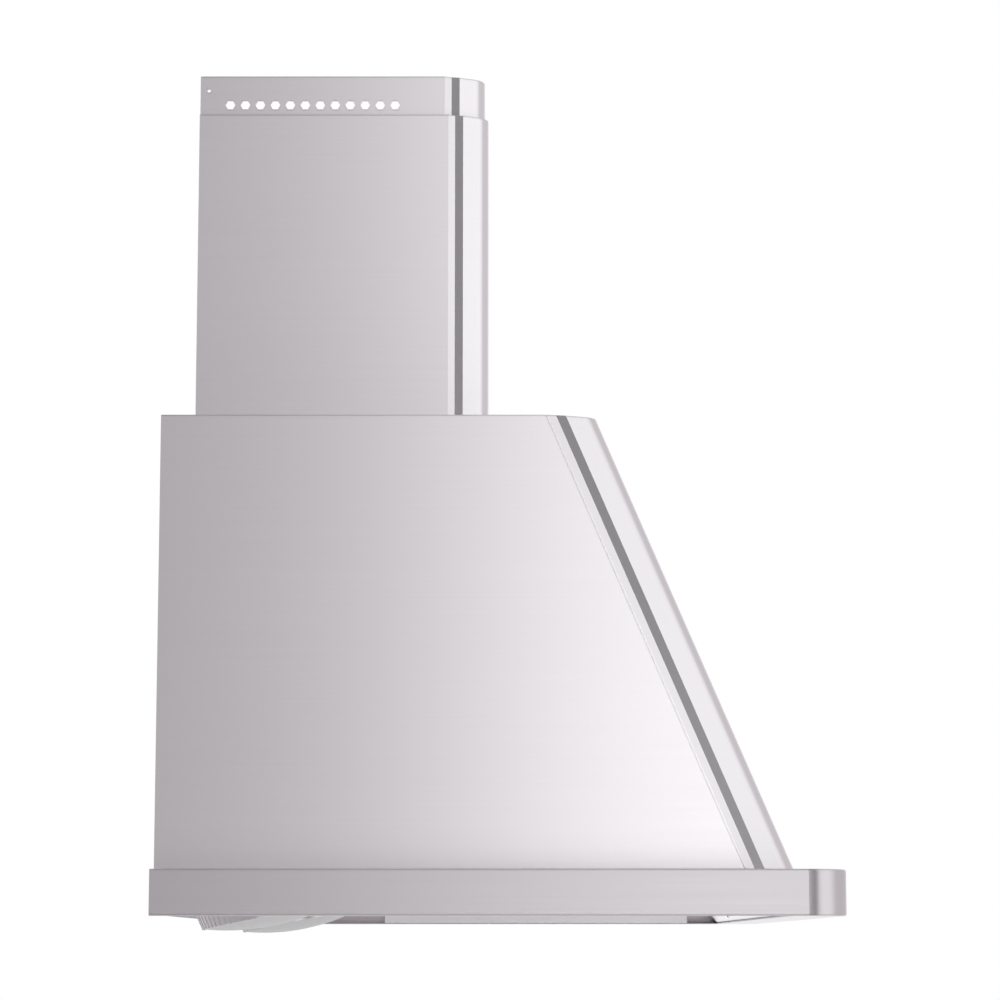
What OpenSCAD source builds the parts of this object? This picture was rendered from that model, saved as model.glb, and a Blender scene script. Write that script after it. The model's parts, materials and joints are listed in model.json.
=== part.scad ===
// Wall-mounted chimney range hood in folded sheet steel.
// Modelled with the wall at y = 0, the front towards -Y, and z = 0 at the bottom of the rim.
// The finished hood is then moved so that its origin is the centre of the wall holes.

/* [Rim] */
// Width across the rim
rim_w = 914; // [860:2:1220]
// Depth from the wall to the front of the rim
rim_d = 600; // [580:1:680]
// Height of the rim's upright band
rim_h = 40; // [38:0.5:60]
// Radius of the two front corners, seen from above
rim_corner_r = 36; // [10:0.5:40]
// Radius of the bend between the band and its flanges
rim_bend_r = 2; // [1.5:0.1:3]
// Thickness of the rim's sheet
rim_sheet = 1.2; // [0.8:0.1:1.5]
// Width of the bottom flange along the two sides
rim_lip = 15; // [8:0.5:20]
// Depth of the flush strip under the front
front_strip = 48; // [40:0.5:60]
// Height and depth of the slanted flange that carries the LED lamps
lamp_flange = 33; // [30:0.5:34]

/* [Canopy] */
// Height of the canopy above the rim
canopy_h = 400.5; // [340:0.5:450]
// Distance of each canopy side from the rim's side
canopy_inset = 32; // [20:0.5:60]
// Distance of the canopy's foot from the rim's front
canopy_setback = 42.4; // [25:0.1:55]
// Lean of the front sheet from upright, in degrees
front_slant = 23.2; // [15:0.1:24]
// Radius of the round upright corners
corner_r = 19.6; // [12:0.1:26]
// Width of the wide strip beside each round corner
wide_strip = 13.6; // [10:0.1:20]
// Turn of the wide strip from the side, in degrees
wide_turn = 24; // [18:0.5:30]
// Width of the middle strip
middle_strip = 8.2; // [5:0.1:12]
// Turn of the middle strip from the side, in degrees
middle_turn = 12; // [8:0.5:16]
// Width of the outer strip, which meets the side
outer_strip = 7.1; // [4:0.1:10]
// Turn of the outer strip from the side, in degrees
outer_turn = 20; // [16:0.5:24]
// Thickness of the canopy's and the covers' sheet
sheet = 1; // [0.7:0.1:1.2]
// Width of the lips turned in at the canopy's foot
foot_lip = 14; // [12:0.5:20]
// Gap of the seam between the front sheet and a side panel
seam = 0.3; // [0.2:0.05:0.6]

/* [Chimney covers] */
// Width of the lower cover
lower_w = 293; // [270:0.5:340]
// Depth of the lower cover
lower_d = 288.5; // [275:0.5:320]
// Height of the lower cover
lower_h = 357.5; // [300:0.5:450]
// Free space between the covers at each side
side_gap = 4; // [2:0.1:6]
// Free space between the covers at the front
front_gap = 2.7; // [1.5:0.1:5]
// Height of the upper cover
upper_h = 350; // [300:1:450]
// Height of the upper cover's top above the lower cover
upper_rise = 41; // [30:0.5:60]
// Number of vents in each side of the upper cover
vent_count = 12; // [4:1:14]
// Distance from one vent to the next
vent_pitch = 15; // [13:0.1:16]
// Width of a hexagonal vent from point to point
vent_w = 10; // [6:0.1:12]
// Distance of the first vent from the wall
vent_back = 30; // [24:0.5:40]
// Distance of the vents below the upper cover's top
vent_drop = 29.7; // [20:0.1:50]
// Diameter of the fixing hole near the upper cover's top
fix_hole_d = 3.3; // [2.5:0.1:4.5]
// Distance of the fixing hole from the wall
fix_hole_back = 8.5; // [6:0.5:14]
// Distance of the fixing hole below the upper cover's top
fix_hole_drop = 15; // [10:0.5:30]

/* [Wall panel] */
// Height of the wall holes' centre above the rim's bottom
hang_z = 330; // [280:1:350]
// Diameter of the four wall holes
wall_hole_d = 8.5; // [6:0.1:12]
// Distance between the wall holes along the wall
wall_pitch_x = 600; // [520:1:680]
// Distance between the wall holes up the wall
wall_pitch_z = 140; // [80:1:160]

/* [Duct collar] */
// Outer diameter that the duct slips over
duct_d = 150; // [120:1:160]
// Height of the collar
collar_h = 45; // [45:1:60]
// Thickness of the collar's wall
collar_wall = 1; // [0.8:0.1:1.5]
// Distance of the collar's axis from the wall
duct_back = 144; // [120:0.5:150]
// Diameter of the damper flaps' rods
rod_d = 3; // [2:0.1:4]
// Distance between the two rods
rod_pitch = 8; // [7:0.5:12]
// Thickness of a damper flap
flap_t = 0.8; // [0.6:0.1:1.5]

/* [Blower] */
// Outer diameter of the impeller
wheel_d = 170; // [150:1:176]
// Width of the impeller
wheel_w = 124; // [100:1:130]
// Number of blades round the impeller
blade_count = 36; // [20:1:48]
// Depth of a blade, from its outer edge inwards
blade_depth = 15; // [10:0.5:20]
// Thickness of a blade
blade_t = 0.8; // [0.6:0.1:1.2]
// Free space between the impeller and a side plate
wheel_gap = 8; // [4:0.5:12]
// Largest radius of the scroll
scroll_r = 145; // [138:1:150]
// Loss of radius with each quarter turn of the scroll
scroll_step = 14; // [10:0.5:16]
// Opening of the scroll's outlet, front to back
outlet_w = 138; // [120:1:140]
// Thickness of the blower's sheet
blower_sheet = 1; // [0.8:0.1:1.5]
// Height of the impeller's shaft above the rim's bottom
shaft_z = 235; // [220:1:250]
// Diameter of the shaft
shaft_d = 8; // [6:0.5:12]
// Diameter of the motor
motor_d = 92; // [80:1:100]
// Length of the motor's can
motor_l = 62; // [50:1:80]

/* [Filters] */
// Thickness of a filter's frame
filter_t = 12; // [10:0.5:14]
// Height of a filter's underside above the rim's bottom
filter_z = 25.5; // [24:0.5:26]
// Distance between one baffle and the next
baffle_pitch = 36; // [30:0.5:44]
// Width of a baffle's flat
baffle_flat = 14; // [10:0.5:18]
// Thickness of a baffle's sheet
baffle_sheet = 0.8; // [0.6:0.1:1]
// Diameter of a filter's pivot studs
stud_d = 5; // [4:0.1:6]
// Diameter of a ring pull's wire
ring_wire = 3; // [2:0.1:4]
// Length that a ring pull hangs down
ring_drop = 14; // [10:0.5:15]
// Width of a ring pull
ring_w = 36; // [26:1:50]

/* [Lamps] */
// Distance of each lamp from the middle of the hood
lamp_x = 214; // [190:1:230]
// Distance of a warming lamp's face from the wall, at its middle
lamp_back = 83.4; // [80:0.1:90]
// Height of the middle of the bulb's edge above the rim's bottom
lamp_edge_z = 1.2; // [-1:0.1:4]
// Tilt of the warming lamps towards the front, in degrees
lamp_tilt = 10.8; // [5:0.1:14]
// Diameter of the lamp ring at its lower edge
lamp_d = 127; // [110:1:130]
// Height of the domed face of a bulb
dome_h = 8.6; // [5:0.1:12]
// Number of ribs round a lamp ring
rib_count = 60; // [24:1:72]
// Width of the lamp shelf under the rear
shelf_d = 165; // [160:1:175]
// Height of the lamp shelf above the rim's bottom
shelf_z = 14; // [13:0.5:15]
// Diameter of an LED lamp's bezel
bezel_d = 34; // [24:0.5:36]
// Diameter of an LED lamp's body
led_d = 27; // [18:0.5:28]

/* [Controls] */
// Distance from one button to the next
button_pitch = 24; // [18:0.5:36]
// Diameter of a button's cap
button_d = 12; // [8:0.5:14]
// Height that a button stands out of the rim
button_proud = 2; // [1.5:0.1:4]
// Travel of a button
button_travel = 1.5; // [1:0.1:2]

/* [Clearances] */
// Radial clearance of a pin or stem in its hole
pin_fit = 0.2; // [0.1:0.05:0.4]
// Gap left between parts that pass or face each other
face_gap = 0.3; // [0.2:0.05:0.5]
// Diameter of the assembly screws
screw_d = 4; // [3:0.1:5]

/* [Hidden] */
$fn = 96;

// Adds up a list of numbers.
function sum(list) = list * [for (each_one = list) 1];

// Heights and edges that several pieces share
canopy_w = rim_w - 2 * canopy_inset;
canopy_d = rim_d - canopy_setback;
canopy_top_z = rim_h + canopy_h;
canopy_half = canopy_w / 2;
rim_half = rim_w / 2;
band_in = rim_half - rim_sheet;
lower_top_z = canopy_top_z + lower_h;
upper_w = lower_w - 2 * (sheet + side_gap);
upper_d = lower_d - sheet - front_gap;
upper_top_z = lower_top_z + upper_rise;
pad_w = 20;
pad_h = 30;
pad_side_y = [-0.25 * upper_d, -0.74 * upper_d];
pad_front_x = 0.35 * upper_w;
strips = [[wide_strip, wide_turn], [middle_strip, middle_turn], [outer_strip, outer_turn]];
round_turn = wide_turn - 4;
strips_out = sum([for (strip = strips) strip[0] * sin(strip[1])]);
strips_back = sum([for (strip = strips) strip[0] * cos(strip[1])]);
corner_side = corner_r * cos(round_turn) + strips_out;
hem = 1.5;
edge_band = corner_r * (1 - sin(round_turn)) + strips_back + hem;
tongue = 12;
open_half = canopy_half - foot_lip;
open_front = canopy_d - foot_lip / cos(front_slant);
cover_lip = 12;
foot_stud_inset = 5.5;
foot_stud_x = open_half + foot_stud_inset;
foot_stud_front_y = -open_front - foot_stud_inset / cos(front_slant);
foot_stud_side_y = [for (share = [0.14, 0.5, 0.84]) -share * canopy_d];
foot_stud_front_x = [for (share = [-0.72, 0, 0.72]) share * open_half];

// Filter bay
rail_y = -(rim_d - front_strip - lamp_flange);
filter_top = filter_z + filter_t;
ledge_z = filter_top + face_gap;
filter_front = rail_y + sheet + 4;
filter_rear = -shelf_d - 7;
filter_l = filter_rear - filter_front;
bar_w = 28;
filter_in = 6;
ledge_x = rim_half - rim_lip;
lug_t = 3;
filter_out = ledge_x - 16;
filter_w = filter_out - filter_in;
filter_mid = (filter_out + filter_in) / 2;
pivot_y = filter_rear - 4;
pivot_z = filter_z + filter_t / 2;
seal_end = pivot_y - 8;
seal_front = rail_y + 16.3;
ring_y = filter_front + 7;
ring_z = filter_z - ring_wire / 2 - 1.2;

// Lamps
rail_z = rim_sheet + sheet / 2;
rail_bend_y = -(rim_d - front_strip) - 2;
lamp_flare = 13;
lamp_ring_t = 2;
bulb_neck_z = 112;
bulb_cap_r = 13.2;
bulb_cap_h = 24;
socket_d = 38;
socket_h = 34;

// Blower
shaft_y = -duct_back - scroll_r + outlet_w / 2;
scroll_half = wheel_w / 2 + wheel_gap;
outlet_top = canopy_top_z - sheet;
inlet_r = wheel_d / 2 - blade_depth + 4;
bell_r = 7;
motor_arm_r = inlet_r + bell_r + 5;
arm_w = 16;
arm_t = 1.5;
motor_x = scroll_half + blower_sheet + 6;

// Damper
flap_z = canopy_top_z + 16;

// Controls, with one button for each of the six button nodes
button_count = 6;
button_z = rim_h / 2;
button_flange_t = 2;
stem_d = 5;
stem_l = 20;
housing_half = button_pitch * button_count / 2 + 12;
housing_h = 26;
housing_l = 33;
housing_wall = 1.5;

// Electrical parts
gland_d = 20;
gland_nut_h = 5;
cable_d = 10;
gland_x = lower_w / 2 - 31.5;
gland_y = -46;
box_size = [80, 74, 46];
box_x = gland_x - 0.4 * box_size[0];
box_y = gland_y - 36;
driver_size = [120, 44, 28];
driver_x = -scroll_half - 150;
driver_y = -60;
driver_ear = 12;
capacitor_d = 34;
capacitor_l = 60;
capacitor_y = shaft_y + 0.69 * scroll_r;
capacitor_z = shaft_z + 0.83 * scroll_r;
terminal = [9, 0.8, 6.3];

// Moves the hood so that its origin is the centre of the wall holes.
module hang() {
    translate([0, 0, -hang_z]) children();
}

// Carries a section drawn in (y, z) from one x to another.
module across(x0, x1) {
    translate([x0, 0, 0]) rotate([90, 0, 90]) linear_extrude(x1 - x0) children();
}

// Puts a right-hand piece on the right (side = 1) or mirrors it to the left (side = -1).
module on_side(side) {
    if (side < 0) mirror([1, 0, 0]) children();
    else children();
}

// A strip of sheet bent along the points of a line, centred on it.
module bent(points, t) {
    for (i = [0 : len(points) - 2]) {
        run = points[i + 1] - points[i];
        translate(points[i]) rotate(atan2(run[1], run[0]))
            translate([0, -t / 2]) square([norm(run), t]);
    }
    for (i = [1 : 1 : len(points) - 2]) translate(points[i]) circle(d = t);
}

function unit(v) = v / norm(v);
function left_of(v) = [-v[1], v[0]];

// The point beside point i of a line, at a distance to its left, where two edges meet in a mitre.
function beside(points, i, distance) =
    let (
        last = len(points) - 1,
        before = unit(i > 0 ? points[i] - points[i - 1] : points[1] - points[0]),
        after = unit(i < last ? points[i + 1] - points[i] : points[last] - points[last - 1]),
        way = unit(left_of(before) + left_of(after))
    )
    points[i] + way * distance / (way * left_of(before));

// A strip of sheet folded sharply along the points of a line, centred on it.
module folded(points, t) {
    last = len(points) - 1;
    polygon(concat(
        [for (i = [0 : last]) beside(points, i, t / 2)],
        [for (i = [last : -1 : 0]) beside(points, i, -t / 2)]
    ));
}

// Where a line goes on from a point by a strip of a width and a turn.
function along(from, strip) = from + strip[0] * [sin(strip[1]), cos(strip[1])];

// Outline of a sheet wrapped round two corners: flat front, round corners, then three
// strips that step outwards, each with its own turn, and flat sides as far as back_y.
module wrap_outline(width, front_y, back_y, inset = 0) {
    centre = [width / 2 - corner_side, front_y + corner_r];
    round_end = centre + corner_r * [cos(round_turn), -sin(round_turn)];
    wide_end = along(round_end, strips[0]);
    middle_end = along(wide_end, strips[1]);
    outer_end = along(middle_end, strips[2]);
    start = along(round_end, [-1, wide_turn]);
    edge = [start, wide_end, middle_end, outer_end, [width / 2, back_y]];
    right = [for (i = [0 : 4]) beside(edge, i, inset)];
    polygon(concat(right, [for (i = [4 : -1 : 0]) [-right[i][0], right[i][1]]]));
    translate([-centre[0], front_y + inset]) square([2 * centre[0], corner_r - inset + 1]);
    for (s = [-1, 1]) translate([s * centre[0], centre[1]]) intersection() {
        circle(r = corner_r - inset);
        translate([-corner_r, -corner_r]) square([2 * corner_r, corner_r + 1]);
    }
}

// Takes a piece drawn with its outer face on y = 0 to the slanted front of the canopy.
module slanted() {
    translate([0, -canopy_d, rim_h]) rotate([-front_slant, 0, 0]) children();
}

// Keeps what lies between two heights and in front of the wall.
module level_cut(z0, z1, back_y = 0) {
    intersection() {
        children();
        translate([-rim_w, -2 * rim_d, z0]) cube([2 * rim_w, 2 * rim_d + back_y, z1 - z0]);
    }
}

// The slanted front carried far enough both ways to be cut level.
module slanted_run() {
    run = canopy_d * sin(front_slant) + canopy_h * cos(front_slant);
    slanted() translate([0, 0, -20]) linear_extrude(run + 40) children();
}

// A pan-head screw pointing down, its head resting on z = 0.
module pan_screw(length) {
    head_h = 0.6 * screw_d;
    difference() {
        cylinder(d = 2 * screw_d, h = head_h);
        translate([0, 0, head_h - 1]) cube([1.4 * screw_d, 1, 3], center = true);
        translate([0, 0, head_h - 1]) cube([1, 1.4 * screw_d, 3], center = true);
    }
    translate([0, 0, -length]) cylinder(d = screw_d, h = length + 0.1);
}

// Places of the studs on the rim's top flange that hold the canopy's lips.
module at_foot_studs() {
    for (s = [-1, 1], y = foot_stud_side_y) translate([s * foot_stud_x, y, 0]) children();
    for (x = foot_stud_front_x) translate([x, foot_stud_front_y, 0]) children();
}

// Places of the screws through the lower cover's lips and the canopy's top.
module at_cover_screws() {
    for (s = [-1, 1], y = [-0.42, -0.78])
        translate([s * (lower_w / 2 - sheet - cover_lip / 2), y * lower_d, 0]) children();
}

// Rim

module rim_outline(inset = 0, back_y = 0) {
    x = rim_half - rim_corner_r;
    y = -rim_d + rim_corner_r;
    translate([-rim_half + inset, y]) square([rim_w - 2 * inset, back_y - y]);
    translate([-x, -rim_d + inset]) square([2 * x, rim_corner_r]);
    for (s = [-1, 1]) translate([s * x, y]) circle(r = rim_corner_r - inset);
}

// What the bend takes off the lower outer edge of the rim.
module rim_edge_waste() {
    x = rim_half - rim_corner_r;
    y = rim_d - rim_corner_r;
    module corner_2d() {
        difference() {
            translate([-rim_bend_r, -1]) square([rim_bend_r + 1, rim_bend_r + 1]);
            translate([-rim_bend_r, rim_bend_r]) circle(r = rim_bend_r);
        }
    }
    for (s = [0, 1]) mirror([s, 0, 0]) {
        translate([rim_half, 1, 0]) rotate([90, 0, 0]) linear_extrude(y + 1) corner_2d();
        translate([x, -y, 0]) rotate([0, 0, -90]) rotate_extrude(angle = 90)
            translate([rim_corner_r, 0]) corner_2d();
    }
    translate([-x, -rim_d, 0]) rotate([90, 0, 90]) linear_extrude(2 * x) mirror([1, 0]) corner_2d();
}

module rim_band() {
    color("silver") difference() {
        union() {
            linear_extrude(rim_h) difference() {
                rim_outline();
                rim_outline(rim_sheet, 1);
            }
            linear_extrude(rim_sheet) difference() {
                rim_outline(0.5);
                translate([-rim_half + rim_lip, -rim_d + front_strip])
                    square([rim_w - 2 * rim_lip, rim_d]);
            }
            translate([0, 0, rim_h - rim_sheet]) linear_extrude(rim_sheet) difference() {
                rim_outline(0.5);
                translate([-open_half, -open_front]) square([2 * open_half, rim_d]);
                translate([-canopy_half, -sheet]) square([canopy_w, rim_d]);
            }
        }
        rim_edge_waste();
        translate([0, 0, rim_h]) mirror([0, 0, 1]) rim_edge_waste();
        at_foot_studs() translate([0, 0, rim_h - 3]) cylinder(d = screw_d + 2 * pin_fit, h = 6);
        at_buttons() rotate([90, 0, 0]) cylinder(d = button_d + 2 * pin_fit, h = 10, center = true);
    }
}

// Canopy

// Joggled edge of the front sheet that lies behind a side panel.
module tongue_2d() {
    polygon([
        [canopy_half - sheet / 2, edge_band - hem],
        [canopy_half - sheet / 2, edge_band],
        [canopy_half - sheet, edge_band],
        [canopy_half - sheet, edge_band + tongue],
        [canopy_half - 2 * sheet, edge_band + tongue],
        [canopy_half - 2 * sheet, edge_band - hem]
    ]);
}

module canopy_front() {
    lip_half = open_half - 16;
    color("gainsboro") difference() {
        union() {
            level_cut(rim_h, canopy_top_z) slanted_run() difference() {
                wrap_outline(canopy_w, 0, edge_band);
                wrap_outline(canopy_w, 0, edge_band + 1, sheet);
            }
            level_cut(rim_h + 2 * sheet, canopy_top_z - 2 * sheet) slanted_run()
                for (s = [0, 1]) mirror([s, 0]) tongue_2d();
            level_cut(rim_h, rim_h + sheet) slanted_run()
                translate([-lip_half, sheet / 2]) square([2 * lip_half, foot_lip - sheet / 2]);
        }
        at_foot_studs() translate([0, 0, rim_h - 1]) cylinder(d = screw_d + 2 * pin_fit, h = 4);
    }
}

// How far the side panel's front edge is from the wall at a height.
function side_front(z) = canopy_d - (edge_band + seam) / cos(front_slant) - (z - rim_h) * tan(front_slant);

module canopy_side(side) {
    on_side(side) color("silver") difference() {
        union() {
            across(canopy_half - sheet, canopy_half) polygon([
                [0, rim_h],
                [0, canopy_top_z],
                [-side_front(canopy_top_z), canopy_top_z],
                [-side_front(rim_h), rim_h]
            ]);
            lip_front = side_front(rim_h) - (tongue + 3) / cos(front_slant);
            translate([canopy_half - foot_lip, -lip_front, rim_h])
                cube([foot_lip - sheet / 2, lip_front - sheet, sheet]);
            translate([canopy_half - foot_lip, -2 * sheet, rim_h])
                cube([foot_lip - sheet / 2, sheet, canopy_h - sheet]);
        }
        at_foot_studs() translate([0, 0, rim_h - 1]) cylinder(d = screw_d + 2 * pin_fit, h = 4);
    }
}

module canopy_top() {
    color("gainsboro") difference() {
        level_cut(canopy_top_z - sheet, canopy_top_z, -sheet) slanted_run()
            wrap_outline(canopy_w, 0, canopy_d, sheet);
        translate([0, -duct_back, canopy_top_z])
            cylinder(d = duct_d - 2 * collar_wall, h = 10, center = true);
        at_cover_screws() translate([0, 0, canopy_top_z])
            cylinder(d = screw_d + 2 * pin_fit, h = 6, center = true);
        at_gland() translate([0, 0, canopy_top_z]) cylinder(d = gland_d + 2 * pin_fit, h = 10, center = true);
    }
}

module back_panel() {
    x = canopy_half - sheet;
    color("darkgray") difference() {
        rotate([90, 0, 0]) linear_extrude(sheet) polygon([
            [-band_in, rim_sheet],
            [band_in, rim_sheet],
            [band_in, rim_h - rim_sheet],
            [x, rim_h - rim_sheet],
            [x, canopy_top_z],
            [-x, canopy_top_z],
            [-x, rim_h - rim_sheet],
            [-band_in, rim_h - rim_sheet]
        ]);
        for (sx = [-1, 1], sz = [-1, 1])
            translate([sx * wall_pitch_x / 2, 0, hang_z + sz * wall_pitch_z / 2])
                rotate([90, 0, 0]) cylinder(d = wall_hole_d, h = 10, center = true);
    }
}

// Chimney covers

module lower_chimney_cover() {
    color("silver") translate([0, 0, canopy_top_z]) difference() {
        union() {
            linear_extrude(lower_h) difference() {
                wrap_outline(lower_w, -lower_d, 0);
                wrap_outline(lower_w, -lower_d, 1, sheet);
            }
            linear_extrude(sheet) difference() {
                wrap_outline(lower_w, -lower_d, 0, sheet / 2);
                translate([-lower_w / 2 + sheet + cover_lip, -lower_d + sheet + cover_lip])
                    square([lower_w - 2 * (sheet + cover_lip), lower_d]);
            }
        }
        at_cover_screws() cylinder(d = screw_d + 2 * pin_fit, h = 6, center = true);
    }
}

module upper_chimney_cover() {
    wall_lip = 12.5;
    color("lightgray") translate([0, 0, upper_top_z - upper_h]) difference() {
        union() {
            linear_extrude(upper_h) difference() {
                wrap_outline(upper_w, -upper_d, 0);
                wrap_outline(upper_w, -upper_d, 1, sheet);
            }
            for (s = [0, 1]) mirror([s, 0, 0])
                translate([upper_w / 2 - wall_lip, -sheet, 0]) cube([wall_lip - sheet / 2, sheet, upper_h]);
        }
        for (i = [0 : vent_count - 1])
            translate([0, -vent_back - i * vent_pitch, upper_h - vent_drop])
                rotate([90, 0, 90]) cylinder(d = vent_w, h = 2 * upper_w, center = true, $fn = 6);
        translate([0, -fix_hole_back, upper_h - fix_hole_drop])
            rotate([0, 90, 0]) cylinder(d = fix_hole_d, h = 2 * upper_w, center = true);
    }
}

// Plastic pads on the upper cover that run on the inside of the lower one.
module glide_pads() {
    side_t = side_gap - face_gap;
    front_t = front_gap - face_gap;
    z = upper_top_z - upper_h + pad_h / 4;
    color("white") for (s = [0, 1]) mirror([s, 0, 0]) {
        for (y = pad_side_y) translate([upper_w / 2, y, z]) cube([side_t, pad_w, pad_h]);
        translate([pad_front_x - pad_w, -upper_d - front_t, z]) cube([pad_w, front_t, pad_h]);
    }
}

// Underside

module lamp_rail() {
    color("silver") difference() {
        across(-ledge_x + sheet, ledge_x - sheet) bent([
            [-rim_d + 14, rail_z],
            [rail_bend_y, rail_z],
            [rail_y - sheet / 2, rail_z + lamp_flange - 2],
            [rail_y - sheet / 2, ledge_z + sheet / 2],
            [rail_y + 16, ledge_z + sheet / 2]
        ], sheet);
        for (s = [-1, 1]) at_led(s) cylinder(d = led_d + 2 * pin_fit, h = 20, center = true);
    }
}

module lamp_shelf() {
    color("silver") difference() {
        union() {
            across(-band_in, band_in) bent([
                [-sheet - 0.5, shelf_z + 14],
                [-sheet - 0.5, shelf_z + sheet / 2],
                [-shelf_d, shelf_z + sheet / 2],
                [-shelf_d, ledge_z + sheet / 2],
                [-shelf_d - 4, ledge_z + sheet / 2]
            ], sheet);
            for (s = [-1, 1], x = [filter_in - face_gap - lug_t, filter_out + face_gap])
                on_side(s) across(x, x + lug_t) hinge_lug_2d();
        }
        for (s = [-1, 1]) at_lamp(s) cylinder(r = lamp_d / 2 - lamp_ring_t, h = 80, center = true);
    }
}

// Ear that holds a filter's pivot stud.
module hinge_lug_2d() {
    ear_r = stud_d / 2 + 2.5;
    difference() {
        union() {
            translate([pivot_y, pivot_z]) circle(r = ear_r);
            translate([pivot_y, pivot_z - ear_r]) square([-shelf_d - pivot_y - sheet / 2 + 0.1, 2 * ear_r]);
        }
        translate([pivot_y, pivot_z]) circle(d = stud_d + 2 * pin_fit);
    }
}

module side_ledge(side) {
    web_front = rail_y + sheet / 2;
    on_side(side) color("silver") {
        translate([0, seal_end, 0]) rotate([90, 0, 0]) linear_extrude(seal_end - seal_front) bent([
            [ledge_x - sheet / 2, rim_sheet],
            [ledge_x - sheet / 2, ledge_z + sheet / 2],
            [filter_out - 8, ledge_z + sheet / 2]
        ], sheet);
        translate([ledge_x - sheet, web_front, rim_sheet])
            cube([sheet, -shelf_d - sheet / 2 - web_front, ledge_z - rim_sheet]);
    }
}

// Flat bar between the filters, with a stiffening web and a narrow tail to the shelf.
module centre_bar() {
    web_t = 4;
    web_h = 8;
    tail_end = -shelf_d - 4.6;
    color("silver") {
        translate([-bar_w / 2, seal_front, ledge_z]) cube([bar_w, seal_end - seal_front, sheet]);
        translate([-web_t / 2, seal_front + 10, ledge_z - web_h])
            cube([web_t, seal_end - seal_front - 12, web_h + sheet / 2]);
        translate([-web_t / 2, seal_end - 3, ledge_z]) cube([web_t, tail_end - seal_end + 3, sheet]);
    }
}

// Spring leaves on the lamp rail that bear on the front of each filter.
module filter_catches() {
    leaf_t = 0.5;
    leaf_w = 20;
    x_at = filter_w / 2 - 60;
    color("lightsteelblue") for (s = [-1, 1], k = [-1, 1])
        across(s * filter_mid + k * x_at - leaf_w / 2, s * filter_mid + k * x_at + leaf_w / 2) bent([
            [rail_y + leaf_t / 2, ledge_z - 2],
            [filter_front - face_gap - leaf_t / 2, ledge_z - 6],
            [rail_y + leaf_t / 2, ledge_z - 11]
        ], leaf_t);
}

// Filters

module filter_frame(side) {
    wall = sheet;
    lip = 14;
    x0 = filter_in;
    color("lightgray") on_side(side) {
        difference() {
            translate([x0, filter_front, filter_z]) cube([filter_w, filter_l, filter_t]);
            translate([x0 + wall, filter_front + wall, filter_z + wall])
                cube([filter_w - 2 * wall, filter_l - 2 * wall, filter_t - 2 * wall]);
            translate([x0 + lip, filter_front + lip, filter_z - 1])
                cube([filter_w - 2 * lip, filter_l - 2 * lip, filter_t + 2]);
        }
        for (x = [x0 - lug_t - face_gap + 0.5, x0 + filter_w - wall])
            translate([x, pivot_y, pivot_z]) rotate([0, 90, 0]) cylinder(d = stud_d, h = lug_t + 1);
        ring_ears();
    }
}

// Lugs of a ring pull under the frame's front bar.
module ring_ears() {
    ear_r = ring_wire / 2 + 1.4;
    for (k = [-1, 1]) translate([filter_mid + k * (ring_w / 2 + 4) - lug_t / 2, 0, 0])
        difference() {
            across(0, lug_t) union() {
                translate([ring_y, ring_z]) circle(r = ear_r);
                translate([ring_y - ear_r, ring_z]) square([2 * ear_r, filter_z - ring_z + 0.2]);
            }
            translate([-1, ring_y, ring_z]) rotate([0, 90, 0]) cylinder(d = ring_wire + 2 * pin_fit, h = 5);
        }
}

// A wire loop with square shoulders: two pivots, two legs and a round foot.
module ring_pull(side) {
    bend_r = 6;
    leg_x = ring_w / 2 - ring_wire / 2;
    color("silver") on_side(side) translate([filter_mid, ring_y, ring_z]) {
        for (k = [-1, 1]) {
            translate([k * (leg_x + 3), 0, 0]) rotate([0, 90, 0])
                cylinder(d = ring_wire, h = 7.5, center = true);
            translate([k * leg_x, 0, 0]) sphere(d = ring_wire);
            translate([k * leg_x, 0, -(ring_drop - bend_r)])
                cylinder(d = ring_wire, h = ring_drop - bend_r);
            translate([k * (leg_x - bend_r), 0, -(ring_drop - bend_r)]) rotate([90, 0, 0])
                rotate([0, 0, k > 0 ? -90 : 180]) rotate_extrude(angle = 90)
                    translate([bend_r, 0]) circle(d = ring_wire);
        }
        translate([0, 0, -ring_drop]) rotate([0, 90, 0])
            cylinder(d = ring_wire, h = 2 * (leg_x - bend_r), center = true);
    }
}

// Two rows of channels facing each other, so that air must turn between them.
module filter_baffles(side) {
    half = baffle_flat / 2;
    slope = 4.5;
    z_low = filter_z + sheet + baffle_sheet / 2;
    z_high = filter_top - sheet - baffle_sheet / 2;
    rise = 5;
    usable = filter_w - 2 * sheet - 2 * (half + slope + 1);
    rows = floor(usable / baffle_pitch);
    start = filter_mid - rows * baffle_pitch / 2;
    color("gainsboro") on_side(side)
        translate([0, filter_rear - sheet, 0]) rotate([90, 0, 0]) linear_extrude(filter_l - 2 * sheet) {
            for (i = [0 : rows]) translate([start + i * baffle_pitch, 0]) bent([
                [-half - slope, z_low + rise],
                [-half, z_low],
                [half, z_low],
                [half + slope, z_low + rise]
            ], baffle_sheet);
            for (i = [0 : rows - 1]) translate([start + (i + 0.5) * baffle_pitch, 0]) bent([
                [-half - slope, z_high - rise],
                [-half, z_high],
                [half, z_high],
                [half + slope, z_high - rise]
            ], baffle_sheet);
        }
}

// Lamps

// The middle of an LED lamp on the slanted flange, z pointing out of it.
module at_led(side) {
    rise = lamp_flange - 2;
    run = rail_y - sheet / 2 - rail_bend_y;
    lean = atan2(rise, run);
    translate([side * lamp_x, rail_bend_y + run / 2, rail_z + rise / 2])
        rotate([lean, 0, 0]) mirror([0, 0, 1]) translate([0, 0, sheet / 2]) children();
}

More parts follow.
